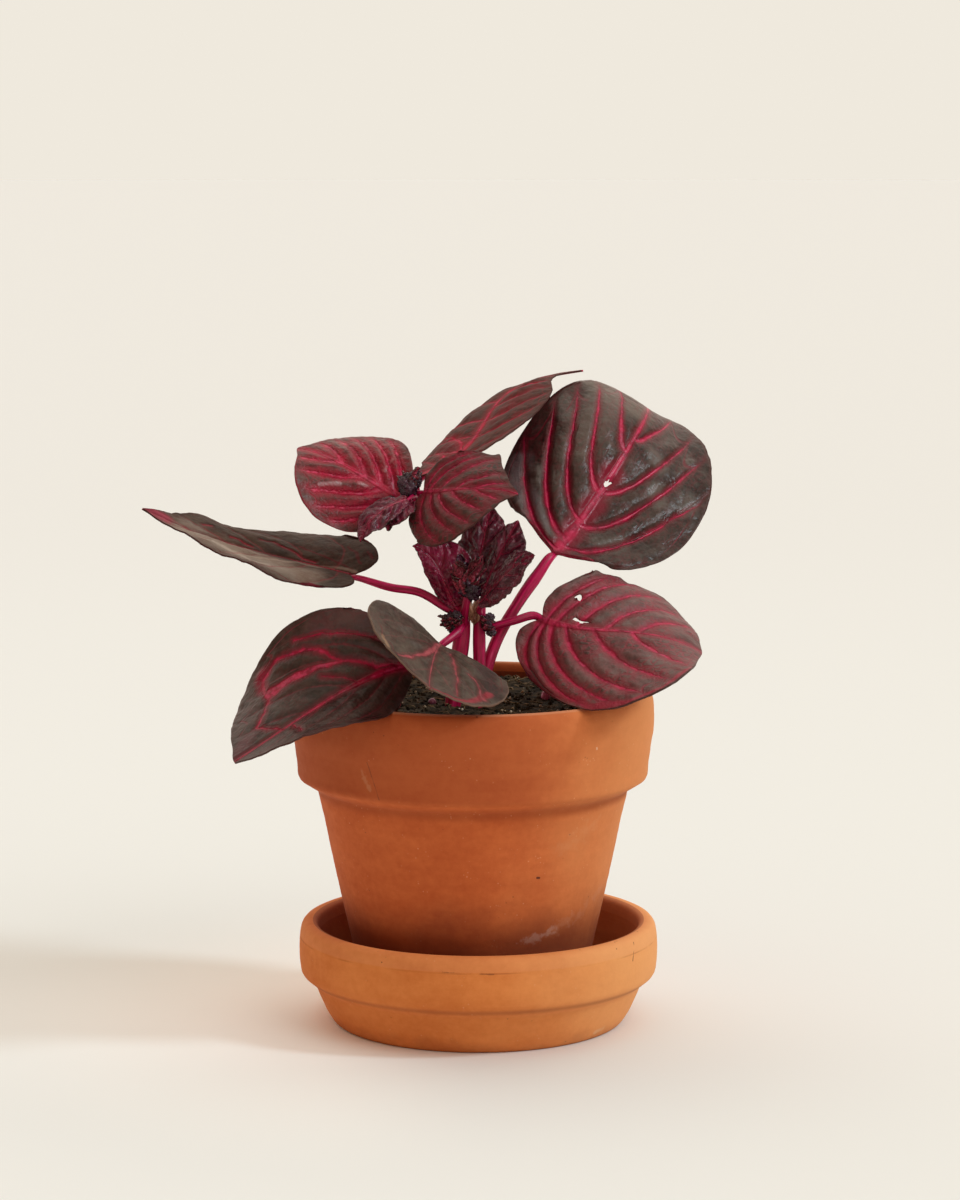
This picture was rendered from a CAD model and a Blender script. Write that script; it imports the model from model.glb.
import math
import random

import bmesh
import bpy
from mathutils import Matrix, Vector, noise


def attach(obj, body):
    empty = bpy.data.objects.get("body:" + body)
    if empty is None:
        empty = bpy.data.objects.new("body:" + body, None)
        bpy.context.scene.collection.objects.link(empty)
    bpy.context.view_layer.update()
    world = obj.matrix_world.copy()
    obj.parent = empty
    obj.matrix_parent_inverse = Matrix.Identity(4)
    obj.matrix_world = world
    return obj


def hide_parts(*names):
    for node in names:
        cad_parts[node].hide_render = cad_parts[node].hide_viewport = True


# A potted bloodleaf: crimson-veined leaves on crimson stems, in a terracotta pot on its saucer.
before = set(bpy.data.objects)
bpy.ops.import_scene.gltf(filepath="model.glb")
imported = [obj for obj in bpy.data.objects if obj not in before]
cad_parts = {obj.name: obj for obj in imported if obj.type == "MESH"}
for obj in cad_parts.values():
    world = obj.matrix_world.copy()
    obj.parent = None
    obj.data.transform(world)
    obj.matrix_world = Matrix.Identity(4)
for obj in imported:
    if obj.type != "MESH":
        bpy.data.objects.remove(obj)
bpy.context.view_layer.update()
mm = 0.001  # sizes below are in millimetres, the scene is in metres


# Camera, floor and light

cameraView = {"place": (0.0005, -1.07, 0.273), "pitchDown": 7.68, "lens": 107.3, "clipEnd": 60}
studio = {
    "floorRadius": 15.0, "floorSides": 96, "contactColour": (0.95, 0.955, 0.955),
    "floorColour": (0.815, 0.835, 0.85), "farColour": (0.792, 0.804, 0.818),
    "backdrop": (0.865, 0.815, 0.725), "ambient": (0.38, 0.22, 0.13),
    "contactReach": (0.06, 0.18), "contactSide": (-0.05, 0.01), "farReach": (0.3, 1.6),
}
# Heading from +X toward +Y and height over the floor in degrees, how wide in degrees, and strength by colour.
lamps = {
    "windowRight": (-13, 38, 9, (0.72, 0.88, 0.94)),
    "softFront": (-45, 40, 40, (0.6, 0.6, 0.6)),
    "backGlow": (90, 35, 110, (1.35, 1.3, 1.24)),
    "ceiling": (0, 90, 110, (0.6, 0.8, 0.7)),
}


def addObject(name, data):
    thing = bpy.data.objects.new(name, data)
    bpy.context.collection.objects.link(thing)
    return thing


def setCamera():
    camera = bpy.data.cameras.new("camera")
    camera.lens = cameraView["lens"]
    camera.clip_end = cameraView["clipEnd"]
    holder = addObject("camera", camera)
    holder.location = cameraView["place"]
    holder.rotation_euler = (math.radians(90 - cameraView["pitchDown"]), 0, 0)
    bpy.context.scene.camera = holder
    bpy.context.scene.view_settings.view_transform = "Standard"


def setLamps():
    for name, (heading, height, width, colour) in lamps.items():
        lamp = bpy.data.lights.new(name, "SUN")
        lamp.angle = math.radians(width)
        lamp.energy = max(colour)
        lamp.color = [share / max(colour) for share in colour]
        turn, rise = math.radians(heading), math.radians(height)
        towards = Vector((math.cos(turn) * math.cos(rise), math.sin(turn) * math.cos(rise), math.sin(rise)))
        addObject(name, lamp).rotation_euler = towards.to_track_quat("Z", "Y").to_euler()


class Signal:
    # One output of a shader node. Sums, products and powers of signals add the nodes that work them out.
    def __init__(self, wiring, socket):
        self.wiring, self.socket = wiring, socket

    def __add__(self, other):
        return self.wiring.math("ADD", self, other)

    def __sub__(self, other):
        return self.wiring.math("SUBTRACT", self, other)

    def __rsub__(self, other):
        return self.wiring.math("SUBTRACT", other, self)

    def __mul__(self, other):
        return self.wiring.math("MULTIPLY", self, other)

    def __truediv__(self, other):
        return self.wiring.math("DIVIDE", self, other)

    def __pow__(self, other):
        return self.wiring.math("POWER", self, other)

    def __abs__(self):
        return self.wiring.math("ABSOLUTE", self)


class Wiring:
    # The nodes of one material, world or node group, and short ways to add them.
    def __init__(self, tree):
        self.tree = tree
        tree.nodes.clear()

    def feed(self, socket, value):
        if isinstance(value, Signal):
            self.tree.links.new(value.socket, socket)
        else:
            socket.default_value = (*value, 1) if socket.type == "RGBA" else value

    def node(self, kind, feeds=None, **settings):
        node = self.tree.nodes.new(kind)
        for name, value in settings.items():
            setattr(node, name, value)
        for name, value in (feeds or {}).items():
            self.feed(node.inputs[name], value)
        return node

    def outputs(self, node):
        return {socket.name: Signal(self, socket) for socket in node.outputs}

    def add(self, kind, feeds=None, out=0, **settings):
        return Signal(self, self.node("ShaderNode" + kind, feeds, **settings).outputs[out])

    def math(self, operation, *values):
        return self.add("Math", dict(enumerate(values)), operation=operation)

    def vector(self, operation, *values, out=0):
        return self.add("VectorMath", dict(enumerate(values)), out, operation=operation)

    def highest(self, first, *others):
        for other in others:
            first = self.math("MAXIMUM", first, other)
        return first

    def lowest(self, first, *others):
        for other in others:
            first = self.math("MINIMUM", first, other)
        return first

    def ease(self, value, low, high, start=0.0, end=1.0):
        feeds = {"Value": value, "From Min": low, "From Max": high, "To Min": start, "To Max": end}
        return self.add("MapRange", feeds, interpolation_type="SMOOTHSTEP")

    def mix(self, share, first, second):
        return self.add("Mix", {0: share, 6: first, 7: second}, 2, data_type="RGBA")

    def noise(self, place, scale, detail=3.0, rough=0.55):
        return self.add("TexNoise", {"Vector": place, "Scale": scale, "Detail": detail, "Roughness": rough})

    def cells(self, place, scale, feature="F1"):
        return self.add("TexVoronoi", {"Vector": place, "Scale": scale}, feature=feature)

    def place(self):
        return self.add("TexCoord", out="Object")

    def stretched(self, place, scale):
        return self.add("Mapping", {"Vector": place, "Scale": scale})

    def split(self, vector):
        return list(self.outputs(self.node("ShaderNodeSeparateXYZ", {0: vector})).values())

    def pair(self, uvName):
        return self.split(self.add("UVMap", uv_map=uvName))[:2]

    def group(self, tree, feeds=None):
        return self.outputs(self.node("ShaderNodeGroup", feeds, node_tree=tree))


def startGroup(name, takes):
    w = Wiring(bpy.data.node_groups.new(name, "ShaderNodeTree"))
    for label, value in takes.items():
        kind = "NodeSocketVector" if isinstance(value, tuple) else "NodeSocketFloat"
        w.tree.interface.new_socket(label, in_out="INPUT", socket_type=kind).default_value = value
    return w, w.outputs(w.node("NodeGroupInput"))


def endGroup(w, gives):
    for label in gives:
        w.tree.interface.new_socket(label, in_out="OUTPUT", socket_type="NodeSocketFloat")
    w.node("NodeGroupOutput", gives)
    return w.tree


def startSkin(name):
    material = bpy.data.materials.new(name)
    material.use_nodes = True
    return material, Wiring(material.node_tree)


def endSkin(w, colour, rough, shine, height=None):
    feeds = {"Base Color": colour, "Roughness": rough, "Specular IOR Level": shine}
    if height is not None:  # in millimetres
        feeds["Normal"] = w.add("Bump", {"Height": height, "Distance": mm, "Strength": 1.0})
    w.node("ShaderNodeOutputMaterial", {"Surface": w.add("BsdfPrincipled", feeds)})


def setBackdrop():
    # The paper behind shows as plainly lit, while the room around gives a dimmer light.
    world = bpy.data.worlds.new("studio")
    bpy.context.scene.world = world
    world.use_nodes = True
    w = Wiring(world.node_tree)
    room, paper = (w.add("Background", {"Color": studio[name]}) for name in ("ambient", "backdrop"))
    seen = w.add("LightPath", out="Is Camera Ray")
    w.node("ShaderNodeOutputWorld", {"Surface": w.add("MixShader", {0: seen, 1: room, 2: paper})})


def makeFloor():
    sheet = bmesh.new()
    bmesh.ops.create_circle(sheet, cap_ends=True, segments=studio["floorSides"], radius=studio["floorRadius"])
    mesh = bpy.data.meshes.new("floor")
    sheet.to_mesh(mesh)
    material, w = startSkin("floorPaper")
    away = w.vector("LENGTH", w.place(), out=1)
    shaded = w.ease(w.split(w.place())[0], *studio["contactSide"], 1, 0)
    near = w.ease(away, *studio["contactReach"], 1, 0) * shaded
    colour = w.mix(near, studio["floorColour"], studio["contactColour"])
    colour = w.mix(w.ease(away, *studio["farReach"]), colour, studio["farColour"])
    endSkin(w, colour, rough=0.95, shine=0.1)
    mesh.materials.append(material)
    addObject("floor", mesh)


setCamera()
setLamps()
setBackdrop()
makeFloor()
print("camera, light and floor are set")


# Shared ways to make and finish pieces


def finishPiece(name, bm, materials, nodes=()):
    mesh = bpy.data.meshes.new(name)
    for face in bm.faces:
        face.smooth = True
    bm.to_mesh(mesh)
    bm.free()
    for material in materials:
        mesh.materials.append(material)
    piece = addObject(name, mesh)
    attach(piece, "root")
    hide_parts(*nodes)
    return piece


def addModifier(piece, kind, **settings):
    modifier = piece.modifiers.new(kind.title(), kind)
    for key, value in settings.items():
        setattr(modifier, key, value)


def pour(whole, part):
    # Adds a small shape to a piece of many. Operators on one small shape at a time stay quick.
    spare = bpy.data.meshes.new("spare")
    part.to_mesh(spare)
    whole.from_mesh(spare)
    part.free()
    bpy.data.meshes.remove(spare)


def curvePoints(points, steps, fineSteps=24):
    # A centripetal curve through the points, as evenly spaced points along it.
    known = [Vector(p) for p in points]
    known = [2 * known[0] - known[1], *known, 2 * known[-1] - known[-2]]
    fine = []
    for p0, p1, p2, p3 in zip(known, known[1:], known[2:], known[3:]):
        t1 = (p1 - p0).length ** 0.5
        t2 = t1 + (p2 - p1).length ** 0.5
        t3 = t2 + (p3 - p2).length ** 0.5
        for i in range(fineSteps):
            t = t1 + (t2 - t1) * i / fineSteps
            a1 = p0.lerp(p1, t / t1)
            a2 = p1.lerp(p2, (t - t1) / (t2 - t1))
            a3 = p2.lerp(p3, (t - t2) / (t3 - t2))
            b1 = a1.lerp(a2, t / t2)
            b2 = a2.lerp(a3, (t - t1) / (t3 - t1))
            fine.append(b1.lerp(b2, (t - t1) / (t2 - t1)))
    fine.append(known[-2])
    lengths = [0.0]
    for a, b in zip(fine, fine[1:]):
        lengths.append(lengths[-1] + (b - a).length)
    spaced, at = [], 0
    for i in range(steps + 1):
        want = lengths[-1] * i / steps
        while at < len(fine) - 2 and lengths[at + 1] < want:
            at += 1
        span = lengths[at + 1] - lengths[at]
        spaced.append(fine[at].lerp(fine[at + 1], min(1, (want - lengths[at]) / span)))
    return spaced


def gridSpot(corner, wide, tall):
    # The column and the row of a corner of a fresh grid of size 1.
    return round((corner.co.x + 1) / 2 * wide), round((corner.co.y + 1) / 2 * tall)


def clamp(value):
    return min(max(value, 0), 1)


def along(values, share):
    # Reads a list of values as a smooth run from its first to its last.
    mark = clamp(share) * (len(values) - 1)
    low = min(int(mark), len(values) - 2)
    return values[low] + (values[low + 1] - values[low]) * (mark - low)


# Terracotta


def makeClayGroup():
    w, _ = startGroup("firedClay", {})
    place = w.place()
    broad = w.noise(place, 22, 4, 0.6)
    fine = w.noise(place, 900, 2, 0.6)
    bands = w.noise(w.stretched(place, (6, 6, 420)), 1.0, 3, 0.6)  # turning lines run round the pot
    cloud = w.noise(w.stretched(place, (1, 1, 2.2)), 70, 5, 0.62)
    tone = broad * 0.4 + cloud * 0.3 + w.noise(place, 420, 3, 0.6) * 0.22 + bands * 0.08
    pale = w.ease(w.cells(place, 620), 0.05, 0.2, 1, 0) * w.ease(w.noise(place, 130, 2), 0.52, 0.66)
    dark = w.ease(w.cells(w.stretched(place, (1, 1, 1.3)), 340), 0.04, 0.13, 1, 0)
    dark = dark * w.ease(w.noise(place, 75, 2), 0.56, 0.68)
    height = fine * 0.05 + bands * 0.06 + dark * -0.12
    return endGroup(w, {"Tone": tone, "Pale": pale, "Dark": dark, "Height": height})


def fromLine(w, place, start, end):
    # How far a place is from the line between two others, and how far along the line it is nearest.
    line = w.vector("SUBTRACT", end, start)
    offset = w.vector("SUBTRACT", place, start)
    reach = w.vector("DOT_PRODUCT", offset, line, out=1) / w.vector("DOT_PRODUCT", line, line, out=1)
    reach = w.lowest(w.highest(reach, 0.0), 1.0)
    nearest = w.add("VectorMath", {0: line, "Scale": reach}, operation="SCALE")
    return w.vector("LENGTH", w.vector("SUBTRACT", offset, nearest), out=1), reach


def makeScratchGroup():
    # A mark along the line between two places, ragged and broken up.
    takes = {"From": (0.0, 0.0, 0.0), "To": (0.0, 0.0, 0.0), "Width": 0.5, "Ragged": 0.5, "Softness": 0.5}
    w, given = startGroup("scratchMark", takes)
    away = fromLine(w, w.place(), given["From"], given["To"])[0] * 1000.0
    away = away + (w.noise(w.place(), 420, 3, 0.65) - 0.5) * (given["Ragged"] * 3.0)
    inner = given["Width"] * (1.0 - given["Softness"])
    return endGroup(w, {"Mask": w.ease(away, inner, given["Width"], 1, 0)})


clayGroup = makeClayGroup()
scratchGroup = makeScratchGroup()

potMarks = {  # from, to, width, raggedness, softness, how strong, colour, all on the pot's face
    "collarCrack": ((-32.4, -44.7, 87), (-28.9, -45.5, 76), 0.26, 0.12, 0.6, 0.6, (0.16, 0.05, 0.022)),
    "rimNick": ((-0.4, -52.9, 101.9), (-0.5, -53.2, 99.9), 0.4, 0.2, 0.4, 0.7, (0.06, 0.02, 0.012)),
    "paleFleck": ((34.6, -41.1, 90.7), (34.7, -41.1, 90.3), 0.34, 0.12, 0.6, 0.6, (0.8, 0.62, 0.45)),
    "longScuff": ((8.6, -44.3, 56.3), (14.6, -43.9, 66.3), 0.5, 0.5, 0.9, 0.3, (0.72, 0.36, 0.16)),
    "wideScuff": ((24, -39.4, 58), (36, -29.4, 65.5), 4.2, 3.2, 1.0, 0.16, (0.8, 0.42, 0.2)),
    "collarScuff": ((-34, -43.1, 84), (-31.8, -43.9, 79), 1.1, 1.4, 0.9, 0.3, (0.6, 0.3, 0.15)),
    "darkSpot": ((17.4, -38.6, 51.4), (18, -38.3, 51.3), 0.5, 0.1, 0.4, 0.85, (0.05, 0.015, 0.01)),
    "limeSmear": ((13.5, -36.2, 31.3), (22.5, -31.4, 33.4), 1.9, 2.4, 1.0, 0.34, (0.6, 0.4, 0.34)),
    "limeTrail": ((22.5, -31.4, 33.4), (36.5, -14.2, 43.5), 2.8, 4.0, 1.0, 0.12, (0.72, 0.42, 0.28)),
}
saucerMarks = {
    "lipCrack": ((46.2, -27.4, 29.4), (46, -29.4, 24.4), 0.3, 0.15, 0.6, 0.7, (0.1, 0.035, 0.015)),
    "frontCrack": ((-10.5, -53.6, 26.7), (4.5, -54.4, 26.2), 0.28, 0.2, 0.6, 0.55, (0.14, 0.05, 0.02)),
    "footChip": ((34.5, -29.6, 2.9), (37, -27, 3.2), 1.2, 0.9, 0.7, 0.5, (0.8, 0.52, 0.3)),
}
# The sun has bleached the side toward +X between the two values of "bleachFrom", in metres. Clay over
# "collarFrom" is darker away from that side, the clay over "lipFrom" is paler, a thin groove runs round at
# "groove", and dirt sits in the fold under the collar at "fold". A height of 1 or -1 leaves a feature out.
potFinish = {
    "deep": (0.46, 0.088, 0.022), "warm": (0.66, 0.165, 0.044), "damp": (0.17, 0.03, 0.014),
    "bleached": (0.78, 0.34, 0.12), "bleachFrom": (0.0, 0.062), "bleachShare": 0.7, "collarFrom": 0.0755,
    "collarShare": 0.5, "stain": (0.3, 0.055, 0.016), "lipFrom": 0.1016, "lipShare": 0.3, "groove": -1.0,
    "fold": 0.0716, "foldReach": 0.003, "foldShare": 0.5, "dampTop": 0.047, "dampDepth": 0.022,
    "dampShare": 0.8,
}
saucerFinish = {
    "deep": (0.6, 0.165, 0.036), "warm": (0.78, 0.27, 0.072), "damp": (0.25, 0.06, 0.025),
    "bleached": (0.86, 0.45, 0.18), "bleachFrom": (0.0, 0.06), "bleachShare": 0.6, "collarFrom": 1.0,
    "collarShare": 0.0, "stain": (0.28, 0.06, 0.025), "lipFrom": 0.0264, "lipShare": 0.1, "groove": 0.0263,
    "fold": 0.0141, "foldReach": 0.0015, "foldShare": 0.42, "dampTop": 0.004, "dampDepth": 0.004,
    "dampShare": 0.2,
}
potInside = {**potFinish, "deep": (0.2, 0.036, 0.012), "warm": (0.28, 0.056, 0.018), "bleachShare": 0.2,
             "collarShare": 0.0}
saucerInside = {**saucerFinish, "deep": (0.36, 0.085, 0.028), "warm": (0.48, 0.14, 0.046), "bleachShare": 0.2}
clayColours = {"lip": (0.82, 0.45, 0.28), "paleGrain": (0.8, 0.45, 0.24), "pit": (0.1, 0.028, 0.014)}


def clayMaterial(name, finish, marks):
    material, w = startSkin(name)
    clay = w.group(clayGroup)
    place = w.place()
    x, _, height = w.split(place)
    uneven = (w.noise(place, 38, 4, 0.6) - 0.5) * 0.03
    colour = w.mix(w.ease(clay["Tone"], 0.28, 0.72), finish["deep"], finish["warm"])
    bleach = w.ease(x + uneven, *finish["bleachFrom"]) * finish["bleachShare"]
    colour = w.mix(bleach, colour, finish["bleached"])
    stain = w.ease(height, finish["collarFrom"] - 0.0012, finish["collarFrom"] + 0.0012)
    stain = stain * w.ease(x + uneven, 0.0, 0.034, 1, 0) * finish["collarShare"]
    colour = w.mix(stain, colour, finish["stain"])
    lip = w.ease(height, finish["lipFrom"], finish["lipFrom"] + 0.0005) * finish["lipShare"]
    colour = w.mix(lip, colour, clayColours["lip"])
    groove = w.ease(abs(height - finish["groove"]), 0.00008, 0.0003, 0.4, 0)
    groove = groove * w.ease(w.noise(place, 60, 2), 0.4, 0.65)
    fold = w.ease(abs(height - finish["fold"]), 0.0, finish["foldReach"], finish["foldShare"], 0)
    colour = w.mix(w.highest(groove, fold), colour, finish["stain"])
    colour = w.mix(clay["Pale"] * 0.4, colour, clayColours["paleGrain"])
    colour = w.mix(clay["Dark"] * 0.7, colour, clayColours["pit"])
    level = height + (w.noise(place, 55, 4, 0.6) - 0.5) * 0.02
    damp = w.ease(level, finish["dampTop"] - finish["dampDepth"], finish["dampTop"], 1, 0)
    colour = w.mix(damp * finish["dampShare"], colour, finish["damp"])
    for start, end, width, rag, soft, share, paint in marks.values():
        feeds = {"From": [c * mm for c in start], "To": [c * mm for c in end], "Width": width,
                 "Ragged": rag, "Softness": soft}
        colour = w.mix(w.group(scratchGroup, feeds)["Mask"] * share, colour, paint)
    endSkin(w, colour, w.ease(clay["Tone"], 0.2, 0.8, 0.92, 0.74), shine=0.25, height=clay["Height"])
    return material


# Outlines are pairs of radius and height in millimetres, in runs. Corners stay sharp where two runs meet. "x"
# is the axis, "mouth" the radius inside which a face can belong to the inside, and "ripple" the unevenness of
# the wall.
potShape = {
    "x": -1.7, "turns": 200, "ripple": 0.07, "seed": 3.0, "mouth": 49.7,
    "runs": [
        [(6, 5.8), (31.8, 5.8)],
        [(31.8, 5.8), (33, 6.6), (34.7, 14.5), (40.2, 39.2), (43.4, 54.2), (45.3, 63.6), (46.6, 69),
         (47.2, 72)],
        [(47.2, 72), (52.7, 75.4)],
        [(52.7, 75.4), (53.1, 76.4), (53.2, 79), (53.6, 82), (54.1, 86), (54.8, 90), (54.9, 95), (54.5, 99.4),
         (53.2, 101.7), (51.4, 102.2), (50.2, 101.5), (49.7, 99.4)],
        [(49.7, 99.4), (49.5, 92), (48.9, 86)],
        [(48.9, 86), (40.8, 66.5), (37, 42), (31, 15), (29, 12.6), (24, 11.8), (6, 11.8)],
        [(6, 11.8), (6, 5.8)],
    ],
}
saucerShape = {
    "x": 0, "turns": 200, "ripple": 0.06, "seed": 8.0, "mouth": 50.2,
    "runs": [
        [(0, 0), (43.4, 0)],
        [(43.4, 0), (44.4, 0.6), (46.6, 4), (48.2, 7.5), (49.3, 10.2), (49.9, 11.8)],
        [(49.9, 11.8), (53.6, 14.9)],
        [(53.6, 14.9), (54.1, 15.8), (54.4, 18), (54.6, 21), (54.5, 25.5), (54.2, 28), (53.7, 29.6),
         (52.7, 30.6), (50.6, 30.8), (49.2, 30.2), (48.7, 28.2)],
        [(48.7, 28.2), (48, 21), (46.7, 11), (45.6, 7.2), (43, 5.6), (38, 5.5), (0, 5.5)],
    ],
}


def spunPiece(name, shape, materials, node, spacing=0.9):
    bm = bmesh.new()
    rim = []
    for run in shape["runs"]:
        length = sum(math.dist(a, b) for a, b in zip(run, run[1:]))
        count = max(2, round(length / spacing))
        points = [Vector((radius, 0, height)) for radius, height in run]
        if len(run) > 2:
            line = curvePoints(points, count)
        else:
            line = [points[0].lerp(points[1], i / count) for i in range(count + 1)]
        rim.extend(line[:-1])
    rim.append(points[-1])
    corners = [bm.verts.new(((p.x + shape["x"]) * mm, 0, p.z * mm)) for p in rim]
    edges = [bm.edges.new(pair) for pair in zip(corners, corners[1:])]
    centre = (shape["x"] * mm, 0, 0)
    bmesh.ops.spin(bm, geom=corners + edges, cent=centre, axis=(0, 0, 1), angle=2 * math.pi,
                   steps=shape["turns"], use_merge=True, use_duplicate=False)
    bmesh.ops.remove_doubles(bm, verts=bm.verts, dist=0.02 * mm)
    bmesh.ops.recalc_face_normals(bm, faces=bm.faces)
    for face in bm.faces:  # the inside, within the mouth, has a duller skin
        middle = face.calc_center_median() - Vector(centre)
        level = Vector((middle.x, middle.y, 0))
        inward = face.normal.dot(level) < -0.1 * level.length or face.normal.z > 0.9
        face.material_index = 1 if inward and level.length < shape["mouth"] * mm else 0
    for corner in bm.verts:  # a hand-turned wall is never quite round or smooth
        out = Vector((corner.co.x - centre[0], corner.co.y, 0))
        if out.length < 10 * mm:  # the middle of the floor stays flat
            continue
        z = corner.co.z / mm
        angle = math.atan2(out.y, out.x)
        wave = noise.noise(Vector((0.9 * math.cos(angle), 0.9 * math.sin(angle), z * 0.5 + shape["seed"])))
        broad = noise.noise(Vector((math.cos(angle), math.sin(angle), z * 0.03 - shape["seed"])))
        corner.co += out.normalized() * (wave + 1.6 * broad) * shape["ripple"] * mm
    finishPiece(name, bm, materials, [node])


potClay = [clayMaterial("potClay", potFinish, potMarks), clayMaterial("potClayInside", potInside, {})]
saucerClay = [clayMaterial("saucerClay", saucerFinish, saucerMarks),
              clayMaterial("saucerClayInside", saucerInside, {})]
spunPiece("pot_fine", potShape, potClay, "pot")
spunPiece("saucer_fine", saucerShape, saucerClay, "saucer")
print("pot and saucer are spun")


# Leaves

# Angles are degrees and run base, middle, tip. Heading turns from +X toward +Y, pitch rises, and a positive
# roll lifts the left edge. Widths, folds, curls and veins are given left side first. "crowd" and "arch" say
# where the lateral veins leave the midrib and how they bend, "sweep" and "basal" where they meet the margin,
# and "outline" how blunt the base and the tip are. "quilt", "wave", "pucker" and "crumple" are the relief. A
# bulge has its side, its place along the margin, its reach and its height, and a hole its place, its two
# sizes and its turn.
ordinary = {
    "basal": 0.15, "lobe": (0.03, 0.03), "tip": 0.04, "crowd": 1.4, "sweep": 1.6, "arch": 0.45,
    "fold": (0, 0), "outline": (0.6, 0.7), "quilt": 0.5, "wave": (0, 3, 0), "pucker": 0.35, "crumple": 0,
    "ragged": 0.012, "veins": ((0.14, 0.34, 0.55, 0.75), (0.2, 0.42, 0.64, 0.82)), "bulge": (), "holes": (),
}
leafShapes = {
    "leaf_upper_right": {
        "base": (23, -2.9, 143.6), "length": 82.97, "width": (33.8, 31), "heading": (56, 56, 100),
        "pitch": (25, 38, -7), "roll": (33, 51, 32), "curl": ((-4, -58, -19), (25, 13, 49)),
        "outline": (0.46, 0.54), "basal": 0.08, "lobe": (-0.02, -0.02), "tip": -0.04, "crowd": 3.57,
        "sweep": 1.64, "arch": 1, "quilt": 0.9,
        "veins": ((0.32, 0.5, 0.63, 0.74, 0.85), (0.43, 0.61, 0.74, 0.88)),
        "holes": [(0.768, -0.02, 3.2, 1.7, -30)]},
    "leaf_lower_right": {
        "base": (19.2, -17.5, 125.4), "length": 49, "width": (30, 31), "heading": (-36, -7, 3),
        "pitch": (-16, -3, -33), "roll": (53, 37, 16), "curl": ((-22, -28, -13), (-15, -5, 15)),
        "outline": (0.6, 0.4), "basal": 0.13, "lobe": (0.065, 0.1), "tip": 0.02, "crowd": 2.15,
        "sweep": 2.1, "arch": 0.5, "quilt": 0.6, "wave": (0.5, 2.5, 0.1),
        "veins": ((0.18, 0.32, 0.5, 0.66, 0.8), (0.11, 0.19, 0.3, 0.43, 0.6, 0.77)),
        "bulge": ((0, 0.02, 0.05, 4), (0, 0.23, 0.035, -1.2)),
        "holes": [(0.265, 0.37, 2.6, 2, 10), (0.5, 0.09, 6.8, 0.7, 0)]},
    "leaf_long_left": {
        "base": (-38.6, -13.1, 138.1), "length": 62.94, "width": (21, 22), "heading": (150, 185, 191),
        "pitch": (10, 16, 29), "roll": (-24, -15, -21), "curl": ((-2, -9, -21), (-3, -37, -14)),
        "fold": (13, 14), "outline": (0.56, 1), "basal": 0.13, "lobe": (0.1, 0.1), "tip": 0.05,
        "crowd": 1.3, "sweep": 1.6, "arch": 0.42, "quilt": 0.5, "wave": (0.5, 3, 0.3),
        "bulge": ((1, 0.31, 0.06, -1.8),),
        "veins": ((0.12, 0.3, 0.48, 0.66, 0.82), (0.16, 0.34, 0.52, 0.7, 0.85))},
    "leaf_lower_left": {
        "base": (-19.5, -32.4, 114.2), "length": 60, "width": (18, 32), "heading": (203, 208, 196),
        "pitch": (-9, -26, -30), "roll": (-85, -20, -5), "curl": ((12, 11, 17), (-2, -20, -24)),
        "fold": (3, 14), "outline": (0.64, 0.52), "basal": 0.18, "lobe": (0, 0), "tip": 0.03,
        "crowd": 3, "sweep": 1.8, "arch": 0.47, "quilt": 0.5,
        "veins": ((0.3, 0.5, 0.66, 0.8), (0.29, 0.42, 0.54, 0.7, 0.84))},
    "leaf_front": {
        "base": (-11.2, -30.3, 119.5), "length": 39.95, "width": (24, 24.5), "heading": (263, 265, 277),
        "pitch": (5, -18, 9), "roll": (-33, -34, -34), "curl": ((0, 0, 0), (0, 0, 0)),
        "fold": (9, 9), "outline": (0.4, 0.63), "basal": 0.2, "lobe": (0.02, 0.02), "tip": 0,
        "crowd": 2.2, "sweep": 1.75, "arch": 0.36, "quilt": 0.4,
        "veins": ((0.2, 0.36, 0.51, 0.7), (0.25, 0.42, 0.59, 0.76))},
    "leaf_upper_left": {
        "base": (-21.1, -13.8, 160.2), "length": 36, "width": (20.5, 21), "heading": (184, 163, 158),
        "pitch": (26, 28, 8), "roll": (-68, -39, -17), "curl": ((-15, -11, -10), (-15, -23, -22)),
        "outline": (0.59, 0.55), "basal": 0.2, "lobe": (0, 0), "tip": 0.05, "crowd": 2.6,
        "sweep": 1.73, "arch": 0.44, "quilt": 0.9,
        "veins": ((0.2, 0.38, 0.55, 0.72, 0.86), (0.26, 0.43, 0.57, 0.7, 0.84))},
    "leaf_upper_centre": {
        "base": (-15.9, -19.8, 163.6), "length": 30, "width": (19, 19), "heading": (-54, -29, -12),
        "pitch": (5, 6, -12), "roll": (59, 43, 35), "curl": ((-15, -20, -11), (-19, -22, -20)),
        "fold": (-4, 2), "outline": (0.49, 0.74), "basal": 0.19, "lobe": (0.1, 0.1), "tip": 0.08,
        "crowd": 1.9, "sweep": 1.87, "arch": 0.52, "quilt": 0.6, "bulge": ((0, 0.4, 0.09, 4),),
        "veins": ((0.13, 0.27, 0.45, 0.64, 0.8), (0.18, 0.33, 0.45, 0.6, 0.78))},
    "leaf_top": {
        "base": (-17, -8, 167.2), "length": 81, "width": (22.5, 20.6), "heading": (17, 73, -3),
        "pitch": (20, 22, 9), "roll": (12, -10, 9), "curl": ((-9, -31, -38), (20, -12, -41)),
        "fold": (-7, 14), "outline": (0.81, 0.87), "basal": 0.08, "lobe": (0.02, 0.02), "tip": 0.06,
        "crowd": 1.2, "sweep": 1.15, "arch": 0.46, "quilt": 0.5,
        "veins": ((0.14, 0.27, 0.4, 0.53, 0.68, 0.84), (0.22, 0.38, 0.51, 0.63, 0.76, 0.88))},
}
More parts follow.
